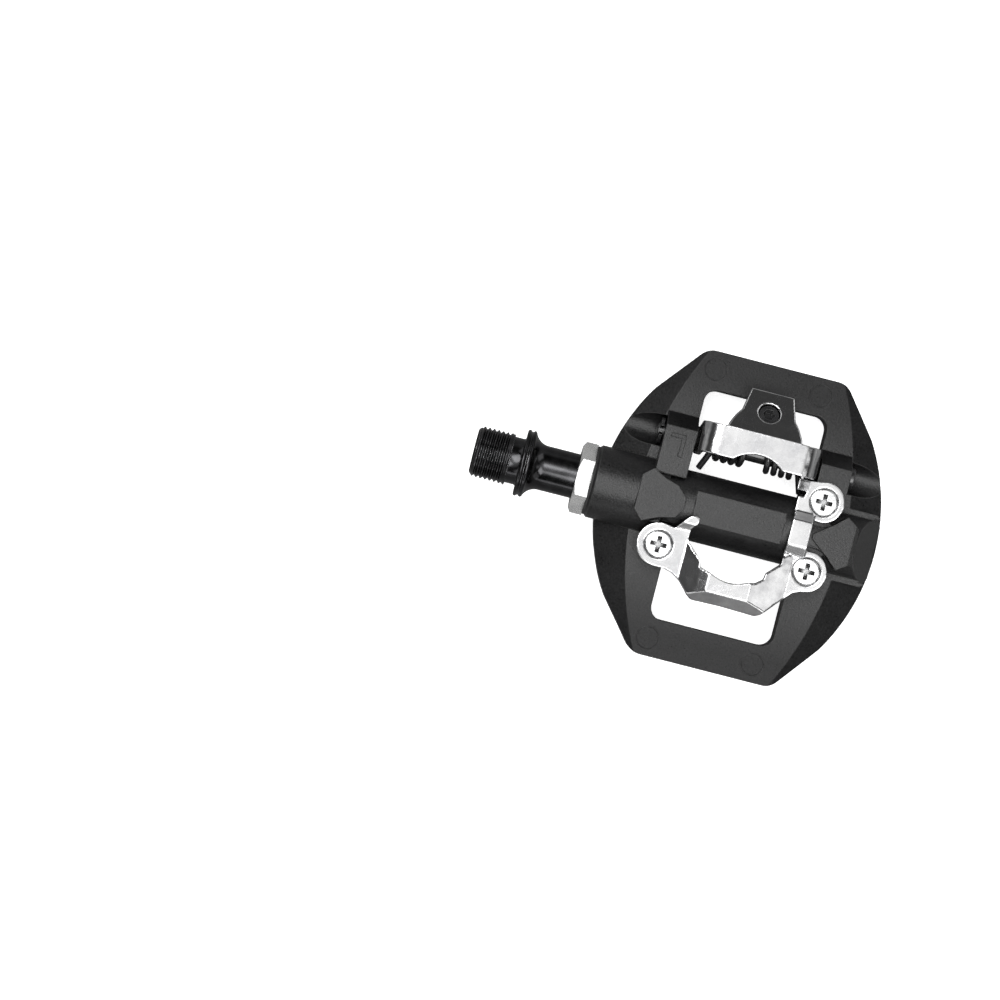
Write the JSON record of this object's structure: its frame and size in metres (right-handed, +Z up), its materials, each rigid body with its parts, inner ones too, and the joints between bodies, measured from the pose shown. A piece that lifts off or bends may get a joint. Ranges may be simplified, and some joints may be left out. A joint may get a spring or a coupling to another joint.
{
  "type": "clipless bicycle pedal",
  "caption": "Left clipless bicycle pedal: black platform with a sprung cleat binding on one side, a flat padded face on the other, and a left-hand threaded spindle.",
  "frame": {"origin": "on the spindle's axis, at the collar face that seats against the crank arm", "axes": "+X along the spindle towards the crank, +Y towards the front of the bicycle (the fixed hook's side), +Z up on the cleat side"},
  "size_m": [0.1127, 0.0846, 0.024],
  "materials": {
    "black_body": "satin black coating over die-cast aluminium",
    "chrome_plate": "polished",
    "spindle_steel": "dark polished",
    "sleeve_nickel": "satin",
    "zinc_fastener": "bright zinc",
    "nylon": "translucent white",
    "black_steel": "gloss black",
    "dark_polymer": "matte",
    "rubber_seal": "matte",
    "bronze": "satin",
    "spacer_alloy": "turned",
    "bearing_steel": "ground",
    "bearing_trim": "pressed"
  },
  "bodies": {
    "spindle": {"spindle": "spindle_steel", "spindle_nut": "bearing_steel", "thrust_washer": "bearing_steel", "inboard_bearing_inner_ring": "bearing_steel", "inboard_bearing_balls": "bearing_steel", "inboard_bearing_cage": "bearing_trim", "outboard_bearing_inner_ring": "bearing_steel", "outboard_bearing_balls": "bearing_steel", "outboard_bearing_cage": "bearing_trim"},
    "platform": {"platform_body": "black_body", "hook_plate": "chrome_plate", "lock_sleeve": "sleeve_nickel", "inner_plate_screw": "zinc_fastener", "outer_front_plate_screw": "zinc_fastener", "outer_rear_plate_screw": "zinc_fastener", "inner_plate_nut": "zinc_fastener", "outer_front_plate_nut": "zinc_fastener", "outer_rear_plate_nut": "zinc_fastener", "nut_nylon_rings": "nylon", "pivot_pin": "black_steel", "pin_clip": "black_steel", "inner_spring": "black_steel", "outer_spring": "black_steel", "pivot_washers": "dark_polymer", "mouth_seal": "rubber_seal", "lip_seal": "rubber_seal", "plain_bush": "bronze", "bearing_spacer": "spacer_alloy", "inboard_bearing_outer_ring": "bearing_steel", "outboard_bearing_outer_ring": "bearing_steel", "inboard_bearing_shields": "bearing_trim", "outboard_bearing_shields": "bearing_trim"},
    "jaw": {"jaw_plate": "chrome_plate"},
    "tension_screw": {"tension_screw": "black_steel"},
    "tension_nut": {"tension_nut": "black_steel"}
  },
  "joints": [
    {"name": "spindle_turn", "type": "hinge", "parent": "spindle", "child": "platform", "pos_m": [0, 0, 0], "axis": [1, 0, 0], "continuous": true},
    {"name": "jaw_open", "type": "hinge", "parent": "platform", "child": "jaw", "pos_m": [-0.061, -0.0178, 0], "axis": [1, 0, 0], "range_deg": [0, 12], "stiffness_Nm_per_rad": 3, "springref_deg": -8.59, "deforming": ["inner_spring", "outer_spring"]},
    {"name": "tension_turn", "type": "hinge", "parent": "jaw", "child": "tension_screw", "pos_m": [-0.061, -0.0289, 0.00981], "axis": [0, -0.4695, 0.8829], "range_deg": [-721, 721]},
    {"name": "tension_travel", "type": "slide", "parent": "jaw", "child": "tension_nut", "axis": [0, -0.4695, 0.8829], "range_m": [-0.0014, 0.0014], "deforming": ["inner_spring", "outer_spring"]}
  ],
  "couplings": [
    {"joint": "tension_turn", "follows": "tension_travel", "rad_per_m": -8976}
  ]
}
